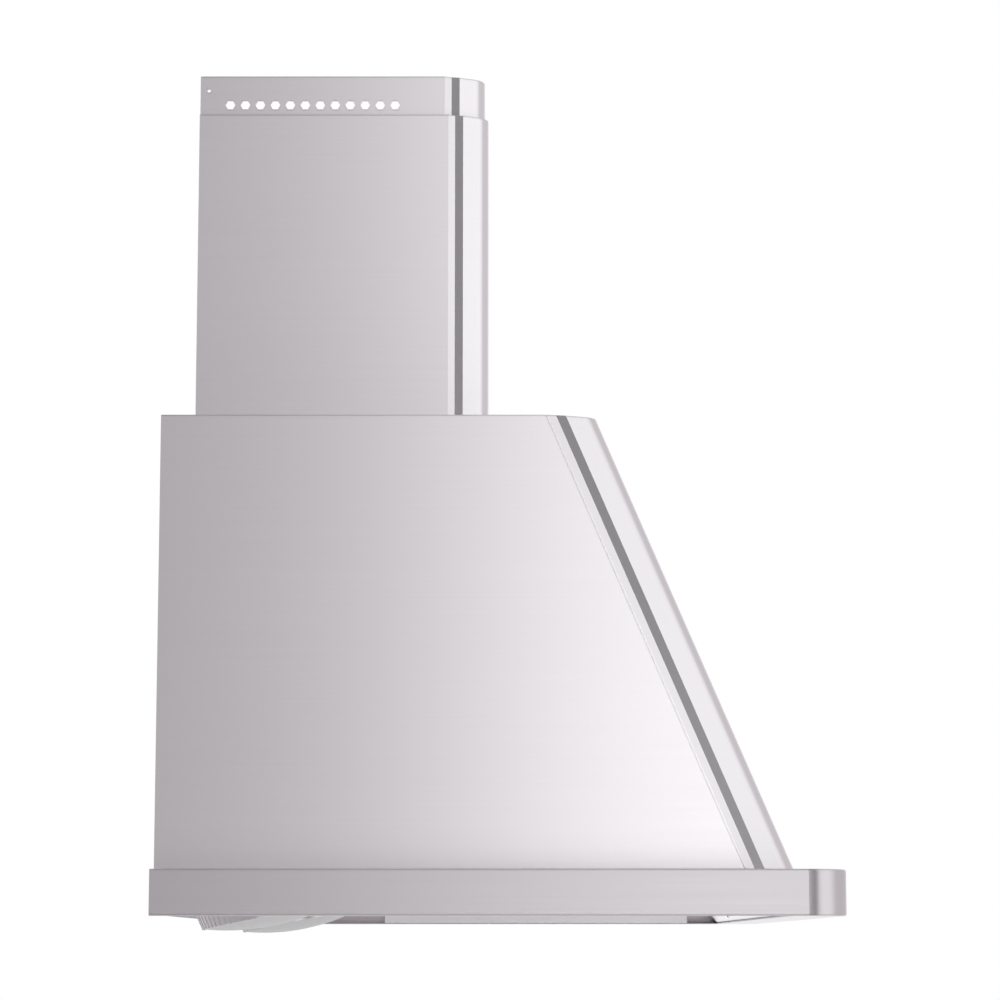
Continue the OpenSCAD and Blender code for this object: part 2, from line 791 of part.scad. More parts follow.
module led_spot(side) {
    bezel_t = 1.2;
    body_l = 14;
    color("silver") at_led(side) rotate_extrude() difference() {
        union() {
            square([bezel_d / 2, bezel_t]);
            translate([0, -body_l]) square([led_d / 2, body_l + bezel_t / 2]);
        }
        translate([-1, -1]) square([led_d / 2 - 1, bezel_t + 2]);
    }
}

module led_lens(side) {
    lens_r = led_d / 2 - 2 - pin_fit;
    color("white") at_led(side) translate([0, 0, -1]) {
        cylinder(r = lens_r, h = 1.4);
        translate([0, 0, 1.3]) cylinder(r1 = lens_r, r2 = lens_r - 3, h = 0.9);
    }
}

// Middle of a warming lamp's lower edge, z pointing up its axis.
module at_lamp(side) {
    translate([side * lamp_x, -lamp_back, lamp_edge_z]) rotate([-lamp_tilt, 0, 0]) children();
}

// Flared collar with upright ribs, cut level under the lamp shelf.
module lamp_ring(side) {
    full_h = 40;
    rib_w = 2;
    rib_t = 1.6;
    foot_r = lamp_d / 2 - rib_t / 2;
    color("darkgray") level_cut(-shelf_z, shelf_z, -sheet) at_lamp(side) difference() {
        union() {
            cylinder(r1 = foot_r, r2 = foot_r + full_h * tan(lamp_flare), h = full_h);
            for (i = [0 : rib_count - 1]) rotate([0, 0, i * 360 / rib_count])
                translate([lamp_d / 2 - rib_t, -rib_w / 2, 0]) rotate([0, lamp_flare, 0])
                    cube([rib_t, rib_w, full_h]);
        }
        translate([0, 0, -1]) cylinder(r = lamp_d / 2 - lamp_ring_t, h = full_h + 2);
    }
}

// Reflector bulb: domed face, round shoulder, flared body and neck.
module warming_lamp(side) {
    face_r = lamp_d / 2 - lamp_ring_t - face_gap;
    dome_r = (face_r * face_r + dome_h * dome_h) / (2 * dome_h);
    shoulder_z = 12;
    flare_z = 82;
    flare_r = 25;
    neck_r = 17;
    color("whitesmoke") at_lamp(side) rotate_extrude() {
        intersection() {
            translate([0, dome_r - dome_h]) circle(r = dome_r);
            translate([0, -dome_h]) square([face_r, dome_h]);
        }
        square([face_r, shoulder_z]);
        polygon([
            [0, shoulder_z],
            [face_r, shoulder_z],
            [face_r - 4, 2 * shoulder_z],
            [flare_r, flare_z],
            [neck_r, bulb_neck_z - 8],
            [neck_r, bulb_neck_z],
            [0, bulb_neck_z]
        ]);
        translate([0, bulb_neck_z - 2]) square([bulb_cap_r, bulb_cap_h]);
        translate([0, bulb_neck_z + bulb_cap_h - 2]) square([5, 3]);
    }
}

module lamp_socket(side) {
    skirt_h = 20;
    color("ivory") at_lamp(side) translate([0, 0, bulb_neck_z + 1]) difference() {
        union() {
            cylinder(d = socket_d, h = skirt_h);
            translate([0, 0, skirt_h]) cylinder(d1 = socket_d, d2 = socket_d - 10, h = socket_h - skirt_h);
        }
        translate([0, 0, -1]) cylinder(r = bulb_cap_r + face_gap, h = bulb_cap_h - 1);
        translate([0, 0, skirt_h]) cylinder(d = 12, h = 4.5);
    }
}

// Bent strap that carries the socket over the lamp.
module lamp_bracket(side) {
    strap_w = 22;
    strap_t = 1.6;
    foot_x = lamp_d / 2 + 6;
    top_z = bulb_neck_z + 1 + socket_h + strap_t / 2;
    color("lightgray") difference() {
        at_lamp(side) translate([0, strap_w / 2, 0]) rotate([90, 0, 0]) linear_extrude(strap_w) folded([
            [-foot_x - 12, -8],
            [-foot_x, 26],
            [-foot_x + 6, top_z - 30],
            [-24, top_z],
            [24, top_z],
            [foot_x - 6, top_z - 30],
            [foot_x, 26],
            [foot_x + 12, -8]
        ], strap_t);
        translate([-rim_w, -rim_d, -rim_h]) cube([2 * rim_w, rim_d, rim_h + shelf_z + sheet]);
    }
}

// Blower

// The air space of the scroll in (y, z) about the shaft: four quarter circles, each
// smaller by the same step, and the outlet. grow makes it larger all round.
module scroll_2d(grow, top) {
    h = scroll_step / 2;
    r = [for (i = [0 : 3]) scroll_r - h - i * scroll_step + grow];
    big = 2 * scroll_r;
    wall_y = h + r[0];
    intersection() {
        translate([h, h]) circle(r = r[0]);
        translate([-h, h - big]) square([big, big]);
    }
    intersection() {
        translate([h, -h]) circle(r = r[1]);
        translate([h - big, -h - big]) square([big, big]);
    }
    intersection() {
        translate([-h, -h]) circle(r = r[2]);
        translate([-h - big, -h]) square([big, big]);
    }
    intersection() {
        translate([-h, h]) circle(r = r[3]);
        translate([-h, -h]) square([big, big]);
    }
    translate([-h, -h]) square([2 * h, 2 * h]);
    translate([wall_y - outlet_w - 2 * grow, h]) square([outlet_w + 2 * grow, top - h]);
}

module at_shaft() {
    translate([0, shaft_y, shaft_z]) children();
}

// Spiral wall of the blower, with a flange before and behind its outlet.
module blower_scroll() {
    top = outlet_top - shaft_z;
    flange_w = 10;
    outlet_back = outlet_w / 2 - duct_back - shaft_y + blower_sheet;
    color("lightsteelblue") at_shaft() {
        across(-scroll_half, scroll_half) difference() {
            scroll_2d(blower_sheet, top);
            scroll_2d(0, top + 1);
        }
        for (y = [outlet_back - 0.1, outlet_back - outlet_w - 2 * blower_sheet - flange_w + 0.1])
            translate([-scroll_half, y, top - blower_sheet]) cube([2 * scroll_half, flange_w, blower_sheet]);
    }
}

// Side plate of the scroll with a bell-mouthed inlet.
module blower_side(side) {
    top = outlet_top - shaft_z;
    color("steelblue") at_shaft() on_side(side) {
        difference() {
            across(scroll_half, scroll_half + blower_sheet) scroll_2d(blower_sheet, top);
            rotate([0, 90, 0]) cylinder(r = inlet_r + bell_r, h = 3 * scroll_half);
            for (k = [0 : 2]) rotate([k * 120 + 90, 0, 0]) translate([scroll_half - 1, motor_arm_r, 0])
                rotate([0, 90, 0]) cylinder(d = screw_d + 2 * pin_fit, h = 5);
        }
        translate([scroll_half, 0, 0]) rotate([0, 90, 0]) rotate_extrude() intersection() {
            translate([inlet_r + bell_r, blower_sheet - bell_r]) difference() {
                circle(r = bell_r);
                circle(r = bell_r - blower_sheet);
            }
            translate([0, -bell_r + blower_sheet]) square([inlet_r + bell_r + 0.2, bell_r]);
        }
    }
}

// Squirrel-cage wheel: curved blades between two rings, with a centre disc and hub.
module impeller() {
    r_out = wheel_d / 2;
    ring_w = 5;
    disc_t = 1.5;
    hub_w = 28;
    hub_r = 13;
    color("slategray") at_shaft() difference() {
        union() {
            across(-wheel_w / 2, wheel_w / 2) for (i = [0 : blade_count - 1])
                rotate(i * 360 / blade_count) blade_2d(r_out);
            for (x = [-wheel_w / 2, wheel_w / 2 - ring_w])
                across(x, x + ring_w) difference() {
                    circle(r = r_out + blade_t);
                    circle(r = r_out - 1);
                }
            across(-disc_t / 2, disc_t / 2) circle(r = r_out - 0.5);
            across(-hub_w / 2, hub_w / 2) circle(r = hub_r);
        }
        rotate([0, 90, 0]) cylinder(d = shaft_d, h = 2 * hub_w, center = true);
    }
}

// One blade: an arc of sheet between the wheel's inner and outer circles.
module blade_2d(r_out) {
    blade_r = blade_depth * 0.8;
    intersection() {
        translate([r_out - blade_depth / 2 - 0.5, -blade_r * 0.55]) difference() {
            circle(r = blade_r);
            circle(r = blade_r - blade_t);
            translate([-2 * blade_r, -2 * blade_r]) square([4 * blade_r, 2 * blade_r]);
        }
        difference() {
            circle(r = r_out);
            circle(r = r_out - blade_depth);
        }
    }
}

module motor_shaft() {
    color("dimgray") at_shaft() across(-motor_x - motor_l - 6, 30) circle(d = shaft_d);
}

// Motor can with stepped end bells, cooling slots and end bosses, on the left of the scroll.
module motor() {
    step = 4;
    boss_r = shaft_d / 2 + 7;
    shaft_hole_r = shaft_d / 2 + 0.1;
    bell_r = motor_d / 2 - 3 * step;
    slots = 10;
    slot_w = 5;
    slot_depth = 3;
    color("dimgray") at_shaft() rotate([0, -90, 0]) difference() {
        rotate_extrude() difference() {
            union() {
                translate([0, motor_x + 2 * step]) square([motor_d / 2, motor_l - 4 * step]);
                translate([0, motor_x + step]) square([motor_d / 2 - step, motor_l - 2 * step]);
                translate([0, motor_x]) square([bell_r, motor_l]);
                translate([0, motor_x - step]) square([boss_r, motor_l + 2 * step]);
            }
            translate([-1, motor_x - 3 * step]) square([shaft_hole_r + 1, motor_l + 6 * step]);
        }
        for (i = [0 : slots - 1], z = [motor_x - 0.1, motor_x + motor_l - slot_depth + 0.1])
            rotate([0, 0, (i + 0.5) * 360 / slots]) translate([boss_r + 3, -slot_w / 2, z])
                cube([bell_r - boss_r - 6, slot_w, slot_depth]);
    }
}

// Ring round the motor with three arms to the side plate.
module motor_bracket() {
    ring_l = 14;
    ring_x = motor_x + (motor_l - ring_l) / 2;
    plate_x = scroll_half + blower_sheet;
    arm_y = motor_d / 2 + 1;
    color("gray") at_shaft() mirror([1, 0, 0]) {
        translate([ring_x, 0, 0]) rotate([0, 90, 0]) rotate_extrude()
            translate([motor_d / 2, 0]) square([1 + arm_t, ring_l]);
        for (k = [0 : 2]) rotate([k * 120 + 90, 0, 0]) {
            difference() {
                translate([plate_x, arm_y, -arm_w / 2]) cube([arm_t, motor_arm_r + arm_w / 2 - arm_y, arm_w]);
                translate([scroll_half, motor_arm_r, 0]) rotate([0, 90, 0])
                    cylinder(d = screw_d + 2 * pin_fit, h = 5);
            }
            translate([plate_x, arm_y, -arm_w / 2]) cube([ring_x + ring_l / 2 - plate_x, arm_t, arm_w]);
        }
    }
}

// Duct collar and damper

module duct_collar() {
    r_in = duct_d / 2 - collar_wall;
    flange_w = 12;
    tab_t = 2;
    color("silver") translate([0, -duct_back, 0]) difference() {
        union() {
            translate([0, 0, canopy_top_z]) cylinder(d = duct_d, h = collar_h);
            translate([0, 0, canopy_top_z]) cylinder(r = duct_d / 2 + flange_w, h = collar_wall);
        }
        difference() {
            translate([0, 0, canopy_top_z - 1]) cylinder(r = r_in, h = collar_h + 2);
            for (s = [0, 1], k = [0, 1]) mirror([s, 0, 0]) mirror([0, k, 0])
                translate([r_in * 0.55, r_in * 0.72, flap_z - flap_t / 2 - face_gap - tab_t])
                    cube([8, r_in, tab_t]);
        }
        for (k = [-1, 1]) translate([0, k * rod_pitch / 2, flap_z]) rotate([0, 90, 0])
            cylinder(d = rod_d + 2 * pin_fit, h = duct_d + 10, center = true);
    }
}

// Half-round flap welded along its rod; side = 1 is the rear one.
module damper_flap(side) {
    r = duct_d / 2 - collar_wall - 2;
    color("lightgray") translate([0, -duct_back, flap_z]) {
        intersection() {
            cylinder(r = r, h = flap_t, center = true);
            translate([-r, side > 0 ? rod_pitch / 2 : -rod_pitch / 2 - r, -5]) cube([2 * r, r, 10]);
        }
        translate([0, side * rod_pitch / 2, 0]) rotate([0, 90, 0])
            cylinder(d = rod_d, h = duct_d - 0.4, center = true);
    }
}

// Controls

module at_button(i) {
    translate([(i - (button_count - 1) / 2) * button_pitch, -rim_d + rim_sheet, button_z]) children();
}

module at_buttons() {
    for (i = [0 : button_count - 1]) at_button(i) children();
}

// Round cap, a collar behind the rim's sheet and a stem.
module button(i) {
    color("white") at_button(i) rotate([-90, 0, 0]) {
        translate([0, 0, -rim_sheet - button_proud])
            cylinder(d = button_d, h = rim_sheet + button_proud + 0.5);
        translate([0, 0, face_gap]) cylinder(d = button_d + 3, h = button_flange_t);
        cylinder(d = stem_d, h = stem_l);
    }
}

// Box behind the rim, open to the front and to the board, with guides for the stems.
module control_housing() {
    y0 = -rim_d + rim_sheet;
    z0 = button_z - housing_h / 2;
    guide_y = y0 + face_gap + button_flange_t + button_travel + 1;
    guide_l = 6;
    room_w = 2 * (housing_half - housing_wall);
    room_h = housing_h - 2 * housing_wall;
    color("dimgray") difference() {
        translate([-housing_half, y0, z0]) cube([2 * housing_half, housing_l, housing_h]);
        translate([-room_w / 2, guide_y + guide_l, z0 + housing_wall]) cube([room_w, housing_l, room_h]);
        translate([-room_w / 2, y0 - 1, z0 + housing_wall]) cube([room_w, guide_y - y0 + 1, room_h]);
        at_buttons() rotate([-90, 0, 0]) cylinder(d = stem_d + 2 * pin_fit, h = housing_l);
    }
}

// Circuit board with one switch behind each button and three relays.
module control_board() {
    board_w = 2 * (housing_half - housing_wall);
    board_h = housing_h - 2 * housing_wall;
    board_t = 1.6;
    switch_t = 4;
    relay = [14, 4.5, 14];
    switch_y = stem_l + button_travel + face_gap;
    board_y = -rim_d + rim_sheet + switch_y + switch_t;
    z0 = button_z - board_h / 2;
    color("darkgreen") {
        translate([-board_w / 2, board_y, z0]) cube([board_w, board_t, board_h]);
        at_buttons() translate([-3, switch_y, -3]) cube([6, switch_t, 6]);
        for (x = [20 - housing_half, 0, housing_half - 20])
            translate([x - relay[0] / 2, board_y + board_t, z0 + 4]) cube(relay);
    }
}

// Electrical parts under the canopy's top

module at_gland() {
    translate([gland_x, gland_y, 0]) children();
}

// Sheet box, open below, that hangs from the canopy's top.
module junction_box() {
    top = canopy_top_z - sheet;
    color("gray") difference() {
        translate([box_x, box_y, top - box_size[2]]) cube(box_size);
        translate([box_x + sheet, box_y + sheet, top - box_size[2] - sheet])
            cube([box_size[0] - 2 * sheet, box_size[1] - 2 * sheet, box_size[2]]);
        at_gland() translate([0, 0, top]) cylinder(d = gland_d + 2 * pin_fit, h = 10, center = true);
    }
}

// Lid that closes the box from below and reaches up round it.
module junction_box_cover() {
    room = box_size + [0.4, 0.4, 0];
    lip_h = 8;
    color("darkgray")
        translate([box_x - 0.2 - sheet, box_y - 0.2 - sheet, canopy_top_z - box_size[2] - 2 * sheet])
            difference() {
                cube([room[0] + 2 * sheet, room[1] + 2 * sheet, lip_h + sheet]);
                translate([sheet, sheet, sheet]) cube([room[0], room[1], lip_h + sheet]);
            }
}

module cable_gland() {
    thread_l = 12;
    color("black") at_gland() difference() {
        union() {
            translate([0, 0, canopy_top_z - sheet - thread_l])
                cylinder(d = gland_d, h = 2 * thread_l + sheet);
            for (z = [canopy_top_z, canopy_top_z - 2 * sheet - gland_nut_h])
                translate([0, 0, z]) cylinder(d = gland_d + 8, h = gland_nut_h, $fn = 6);
        }
        translate([0, 0, canopy_top_z]) cylinder(d = cable_d, h = 6 * thread_l, center = true);
    }
}

// Run capacitor that stands on the blower's side plate, with two blade terminals.
module capacitor() {
    rim_t = 2;
    cap_h = 3;
    color("white") translate([-(scroll_half + blower_sheet), capacitor_y, capacitor_z])
        rotate([0, -90, 0]) {
            cylinder(d = capacitor_d, h = capacitor_l - cap_h);
            cylinder(d = capacitor_d - 2 * rim_t, h = capacitor_l);
            for (k = [-1, 1]) translate([-terminal[2] / 2, k * capacitor_d / 5, capacitor_l - 0.1])
                cube([terminal[2], terminal[1], terminal[0]]);
        }
}

// Power supply of the LED lamps: a ribbed case with a slotted ear at each end.
module lamp_driver() {
    ear_t = 2;
    slot_w = screw_d + 0.5;
    rib_w = 3;
    groove_pitch = 12;
    grooves = floor((driver_size[0] - 2 * groove_pitch) / groove_pitch);
    color("whitesmoke") translate([driver_x, driver_y, canopy_top_z - sheet - driver_size[2]]) difference() {
        union() {
            cube(driver_size);
            translate([-driver_ear, 0, driver_size[2] - ear_t])
                cube([driver_size[0] + 2 * driver_ear, driver_size[1], ear_t]);
        }
        for (i = [0 : grooves], y = [-1, driver_size[1] - 1])
            translate([(i + 1) * groove_pitch, y, -1])
                cube([groove_pitch - rib_w, 2, driver_size[2] - ear_t - 2]);
        for (x = [-driver_ear / 2, driver_size[0] + driver_ear / 2])
            translate([x - slot_w / 2, driver_size[1] / 2 - slot_w, 0])
                cube([slot_w, 2 * slot_w, 2 * driver_size[2]]);
    }
}

// Fasteners

// Studs that stand up from the rim's flange, each with its nut on the canopy's lip.
module foot_studs() {
    color("gray") at_foot_studs() {
        translate([0, 0, rim_h - rim_sheet]) cylinder(d = screw_d, h = rim_sheet + sheet + 5);
        translate([0, 0, rim_h + sheet]) cylinder(d = 2 * screw_d, h = 3.2, $fn = 6);
    }
}

module cover_screws() {
    color("gray") at_cover_screws() translate([0, 0, canopy_top_z + sheet]) {
        pan_screw(9);
        translate([0, 0, -2 * sheet - 3]) cylinder(d = 2 * screw_d, h = 3, $fn = 6);
    }
}

module motor_screws() {
    color("gray") at_shaft() on_side(-1) for (k = [0 : 2]) rotate([k * 120 + 90, 0, 0])
        translate([scroll_half + blower_sheet + arm_t, motor_arm_r, 0]) rotate([0, 90, 0]) pan_screw(7);
}

hang() rim_band();
hang() canopy_front();
hang() canopy_side(-1);  // canopy_side_left
hang() canopy_side(1);  // canopy_side_right
hang() canopy_top();
hang() back_panel();
hang() lower_chimney_cover();
hang() upper_chimney_cover();
hang() glide_pads();
hang() lamp_rail();
hang() lamp_shelf();
hang() side_ledge(-1);  // side_ledge_left
hang() side_ledge(1);  // side_ledge_right
hang() centre_bar();
hang() filter_frame(-1);  // filter_frame_left
hang() filter_frame(1);  // filter_frame_right
hang() filter_baffles(-1);  // filter_baffles_left
hang() filter_baffles(1);  // filter_baffles_right
hang() filter_catches();
hang() ring_pull(-1);  // ring_pull_left
hang() ring_pull(1);  // ring_pull_right
hang() led_spot(-1);  // led_spot_left
hang() led_spot(1);  // led_spot_right
hang() led_lens(-1);  // led_lens_left
hang() led_lens(1);  // led_lens_right
hang() lamp_ring(-1);  // lamp_ring_left
hang() lamp_ring(1);  // lamp_ring_right
hang() warming_lamp(-1);  // warming_lamp_left
hang() warming_lamp(1);  // warming_lamp_right
hang() lamp_socket(-1);  // lamp_socket_left
hang() lamp_socket(1);  // lamp_socket_right
hang() lamp_bracket(-1);  // lamp_bracket_left
hang() lamp_bracket(1);  // lamp_bracket_right
hang() blower_scroll();
hang() blower_side(-1);  // blower_side_left
hang() blower_side(1);  // blower_side_right
hang() impeller();
hang() motor_shaft();
hang() motor();
hang() motor_bracket();
hang() duct_collar();
hang() damper_flap(-1);  // damper_flap_front
hang() damper_flap(1);  // damper_flap_rear
hang() control_housing();
hang() control_board();
hang() button(0);  // button_off
hang() button(1);  // button_light
hang() button(2);  // button_warming
hang() button(3);  // button_speed_1
hang() button(4);  // button_speed_2
hang() button(5);  // button_speed_3
hang() junction_box();
hang() junction_box_cover();
hang() cable_gland();
hang() capacitor();
hang() lamp_driver();
hang() foot_studs();
hang() cover_screws();
hang() motor_screws();
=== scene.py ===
# %% [markdown]
# A wall-mounted range hood in brushed stainless steel.
# The imported CAD model is loaded first and is never moved: it is the hood itself, in metres, with the
# wall at y = 0 and the front towards -Y. This script adds the camera, the light and the finishes.
# The size of the CAD model is kept.

# %% Load the frame
import json
import math

import bpy
import numpy as np
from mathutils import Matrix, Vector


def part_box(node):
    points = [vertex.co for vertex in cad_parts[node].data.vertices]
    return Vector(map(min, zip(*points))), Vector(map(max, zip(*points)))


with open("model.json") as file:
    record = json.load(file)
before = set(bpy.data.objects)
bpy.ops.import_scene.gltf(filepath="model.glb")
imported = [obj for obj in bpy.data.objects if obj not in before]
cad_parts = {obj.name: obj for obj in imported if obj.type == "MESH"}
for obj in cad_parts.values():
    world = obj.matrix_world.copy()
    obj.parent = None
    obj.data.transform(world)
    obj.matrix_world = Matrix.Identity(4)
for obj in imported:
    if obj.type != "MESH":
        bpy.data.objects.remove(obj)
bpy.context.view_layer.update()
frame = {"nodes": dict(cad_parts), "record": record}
nodes = frame["nodes"]
scene = bpy.context.scene

# %% [markdown]
# The photograph looks straight at the hood's left side. All the lines that run away from the viewer
# meet in one point, which lies low in the picture, so the camera stands just below the rim. A view
# camera would stay level and slide its film up by almost half the picture. Here the camera tilts up
# for most of the way and its frame is shifted for the rest, because the shift stays in every other
# view and would push the hood out of it. Then the uprights lean together by a few pixels. The rim's
# depth of 600 mm spans 689 pixels at the near side, and that gives the focal length.

# %% Camera
PHOTO_WIDTH_PX = 1000
RIM_DEPTH_PX = 689.0       # front to back, at the near side
HORIZON_PX = 946.5         # from the picture's top
SENSOR_MM = 36.0
SHIFT = 0.07               # share of the frame's width
CAMERA_BELOW_RIM = 0.026   # metres
CAMERA_DISTANCE = 2.431    # metres from the near side
ENLARGED = 1.022           # makes up for the tilt, which draws the upper pieces smaller

rim_low, rim_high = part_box("rim_band")
rim_depth = rim_high.y - rim_low.y
level_px = ENLARGED * RIM_DEPTH_PX * CAMERA_DISTANCE / rim_depth
horizon_below_middle = HORIZON_PX - PHOTO_WIDTH_PX / 2 - SHIFT * PHOTO_WIDTH_PX
tilt = math.asin(horizon_below_middle / level_px)
focal_px = level_px * math.cos(tilt)

camera_data = bpy.data.cameras.new("photo_camera")
camera_data.sensor_width = SENSOR_MM
camera_data.lens = SENSOR_MM * focal_px / PHOTO_WIDTH_PX
camera_data.shift_y = SHIFT
camera = bpy.data.objects.new("photo_camera", camera_data)
camera.location = (
    rim_low.x - CAMERA_DISTANCE,
    rim_low.y + rim_depth / 2,
    rim_low.z - CAMERA_BELOW_RIM,
)
camera.rotation_euler = (math.radians(90) + tilt, 0, math.radians(-90))
scene.collection.objects.link(camera)
scene.camera = camera
scene.view_settings.view_transform = "Standard"
print("camera at", tuple(camera.location), "lens", round(camera_data.lens, 1), "mm")

# %% [markdown]
# Every finish is a small tree of shader nodes. These helpers make the three things that all of them
# need: a material with its shader, a link between two nodes, and a noise that can be stretched.

# %% Helpers for materials
def add(tree, kind, **sockets):
    """A new node of that kind with some of its inputs set."""
    node = tree.nodes.new(kind)
    for name, value in sockets.items():
        node.inputs[name.replace("_", " ")].default_value = value
    return node


def start_material(name):
    """A material with nothing but its shader: (material, tree, shader)."""
    material = bpy.data.materials.new(name)
    material.use_nodes = True
    tree = material.node_tree
    return material, tree, tree.nodes["Principled BSDF"]


def stretched_noise(tree, scale, detail=3.0):
    """Noise in object coordinates, squeezed by scale along X, Y and Z, so that a large number makes
    fine lines across that axis."""
    where = add(tree, "ShaderNodeTexCoord")
    squeeze = add(tree, "ShaderNodeMapping", Scale=scale)
    noise = add(tree, "ShaderNodeTexNoise", Scale=1.0, Detail=detail, Roughness=0.6)
    tree.links.new(where.outputs["Object"], squeeze.inputs["Vector"])
    tree.links.new(squeeze.outputs["Vector"], noise.inputs["Vector"])
    return noise.outputs["Fac"]


def spread(tree, value, low, high):
    """Carries a value of 0 to 1 to the range low to high."""
    span = add(tree, "ShaderNodeMapRange")
    span.inputs["To Min"].default_value = low
    span.inputs["To Max"].default_value = high
    tree.links.new(value, span.inputs["Value"])
    return span.outputs["Result"]


def tint(tree, value, dark, light):
    """A colour between dark and light, by a value of 0 to 1."""
    mix = tree.nodes.new("ShaderNodeMix")
    mix.data_type = "RGBA"
    mix.inputs[6].default_value = (*dark, 1)
    mix.inputs[7].default_value = (*light, 1)
    tree.links.new(value, mix.inputs[0])
    return mix.outputs[2]


def relief(tree, shader, value, height, strength=1.0):
    """Raises the surface by the value, to height metres, and gives back the bump node."""
    bump = add(tree, "ShaderNodeBump", Strength=strength, Distance=height)
    tree.links.new(value, bump.inputs["Height"])
    tree.links.new(bump.outputs["Normal"], shader.inputs["Normal"])
    return bump


# %% [markdown]
# Sheet steel is folded over a small radius, and the bend catches a thin dark line from above. The CAD's
# folds are sharp. A bevel on every edge would show that line and cost many faces, so the faces stay and
# only the normal that the shader works with leans near a level fold, as it does on a small bend.

# %% A small bend at level folds
BEND_RADIUS = 0.0025       # metres
BEND_SAMPLES = 6


def folded_normal(tree):
    """The normal N near a level fold: it keeps its X and Y, takes the Z that N has on a rounded
    edge, and is brought back to length 1."""
    rounded = add(tree, "ShaderNodeBevel", Radius=BEND_RADIUS)
    rounded.samples = BEND_SAMPLES
    rounded_parts = add(tree, "ShaderNodeSeparateXYZ")
    face = add(tree, "ShaderNodeNewGeometry")
    face_parts = add(tree, "ShaderNodeSeparateXYZ")
    leaning = add(tree, "ShaderNodeCombineXYZ")
    unit = tree.nodes.new("ShaderNodeVectorMath")
    unit.operation = "NORMALIZE"
    tree.links.new(rounded.outputs["Normal"], rounded_parts.inputs[0])
    tree.links.new(face.outputs["Normal"], face_parts.inputs[0])
    tree.links.new(face_parts.outputs["X"], leaning.inputs["X"])
    tree.links.new(face_parts.outputs["Y"], leaning.inputs["Y"])
    tree.links.new(rounded_parts.outputs["Z"], leaning.inputs["Z"])
    tree.links.new(leaning.outputs[0], unit.inputs[0])
    return unit.outputs[0]


print("bend radius:", BEND_RADIUS * 1000, "mm")

# %% [markdown]
# Brushed steel is drawn over an abrasive belt, which leaves thousands of fine straight scratches. On an
# upright sheet of this hood they run level, which the cross product of the surface's normal with Z
# gives, and on a level sheet they run along X. An attribute painted on each mesh could hold the
# direction as well, but the normal already knows it.

# %% Direction of the scratches
LEVEL_ENOUGH = 0.9         # a face whose normal is this close to Z counts as level


def brushing_direction(tree):
    """The scratches' direction, N x Z on upright faces and X on level ones, and 1 on level faces."""
    where = add(tree, "ShaderNodeTexCoord")
    cross = tree.nodes.new("ShaderNodeVectorMath")
    cross.operation = "CROSS_PRODUCT"
    cross.inputs[1].default_value = (0, 0, 1)
    parts = add(tree, "ShaderNodeSeparateXYZ")
    flat = tree.nodes.new("ShaderNodeMath")
    flat.operation = "ABSOLUTE"
    lies = tree.nodes.new("ShaderNodeMath")
    lies.operation = "GREATER_THAN"
    lies.inputs[1].default_value = LEVEL_ENOUGH
    pick = tree.nodes.new("ShaderNodeMix")
    pick.data_type = "VECTOR"
    pick.inputs[5].default_value = (1, 0, 0)
    tree.links.new(where.outputs["Normal"], cross.inputs[0])
    tree.links.new(where.outputs["Normal"], parts.inputs[0])
    tree.links.new(parts.outputs["Z"], flat.inputs[0])
    tree.links.new(flat.outputs[0], lies.inputs[0])
    tree.links.new(lies.outputs[0], pick.inputs[0])
    tree.links.new(cross.outputs[0], pick.inputs[4])
    return pick.outputs[1], lies.outputs[0]


print("faces count as level from", LEVEL_ENOUGH, "of the way to Z")

# %% [markdown]
# Scratches spread a reflection across themselves and leave it sharp along themselves, so the steel has
# an anisotropic shader whose tangent follows them. Two noises, both squeezed into lines, vary its
# colour: fine scratches and broader, fainter streaks. The canopy, the covers and the rim come from
# different sheets, so each has its own colour and gloss.

# %% Brushed steel
ALONG = 5                  # noise cells a metre along the scratches
SCRATCHES_PER_M = 1400
STREAKS_PER_M = (1.6, 1.6, 260)
STREAK_DETAIL = 6.0
STREAK_SHARE = 0.3
SCRATCH_CONTRAST = 0.05
SCRATCH_HEIGHT = 0.00001   # metres
SCRATCH_STRENGTH = 0.3
GLOSS_CHANGE = 0.05
ANISOTROPY = 0.9
QUARTER_TURN = 0.25        # the gloss spreads across the scratches


